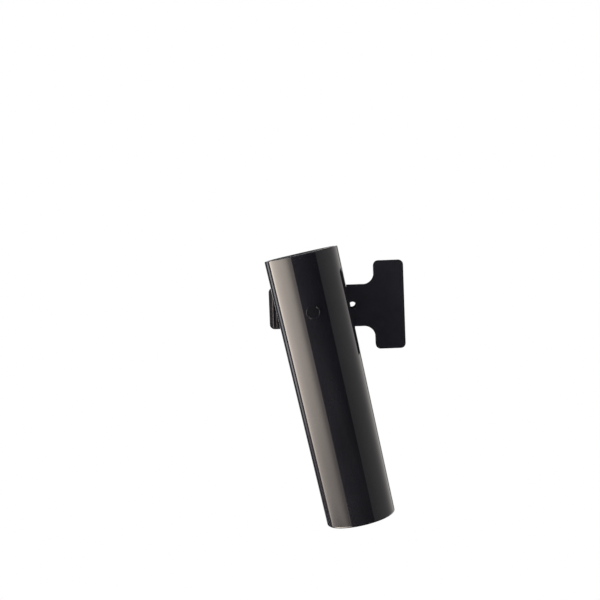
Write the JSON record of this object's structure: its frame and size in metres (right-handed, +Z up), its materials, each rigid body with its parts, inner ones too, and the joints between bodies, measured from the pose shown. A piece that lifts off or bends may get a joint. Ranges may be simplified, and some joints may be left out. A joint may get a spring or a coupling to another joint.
{
  "type": "clamp-on drum stick holder",
  "caption": "Tapered stick cup on a friction swivel, carried by a sprung two-jaw clip that grips a stand tube.",
  "frame": {"origin": "on the axis of the gripped stand tube, at mid-height of the jaws", "axes": "+Z up along the stand tube, +X from the grip ends towards the stand tube, +Y from the cup towards the rear jaw"},
  "size_m": [0.1109, 0.0982, 0.2223],
  "materials": {
    "cup_plastic": "moulded black plastic, high gloss",
    "plug_plastic": "moulded black plastic, gloss",
    "clip_plastic": "moulded black plastic, fine matte texture",
    "pad_rubber": "black rubber, matt",
    "zinc_steel": "bright zinc plate",
    "spring_steel": "drawn spring steel, oiled",
    "nylon": "natural nylon"
  },
  "bodies": {
    "clip": {"front_jaw": "clip_plastic", "front_jaw_pad": "pad_rubber", "hinge_pin": "zinc_steel", "pin_retainer": "spring_steel", "torsion_spring": "spring_steel", "pivot_screw": "zinc_steel", "spring_washer": "spring_steel", "friction_washer": "nylon", "lock_nut": "zinc_steel", "nut_insert": "nylon"},
    "rear_clip": {"rear_jaw": "clip_plastic", "rear_jaw_pad": "pad_rubber"},
    "cup": {"stick_cup": "cup_plastic", "access_plug": "plug_plastic", "swivel_saddle": "clip_plastic", "curved_washer": "zinc_steel"}
  },
  "joints": [
    {"name": "jaw_hinge", "type": "hinge", "parent": "clip", "child": "rear_clip", "pos_m": [-0.05, 0, 0], "axis": [0, 0, 1], "range_deg": [-20, 26], "stiffness_Nm_per_rad": 0.66, "deforming": ["torsion_spring"]},
    {"name": "cup_swivel", "type": "hinge", "parent": "clip", "child": "cup", "pos_m": [-0.065, -0.04963, 0], "axis": [0, 1, 0], "continuous": true}
  ]
}
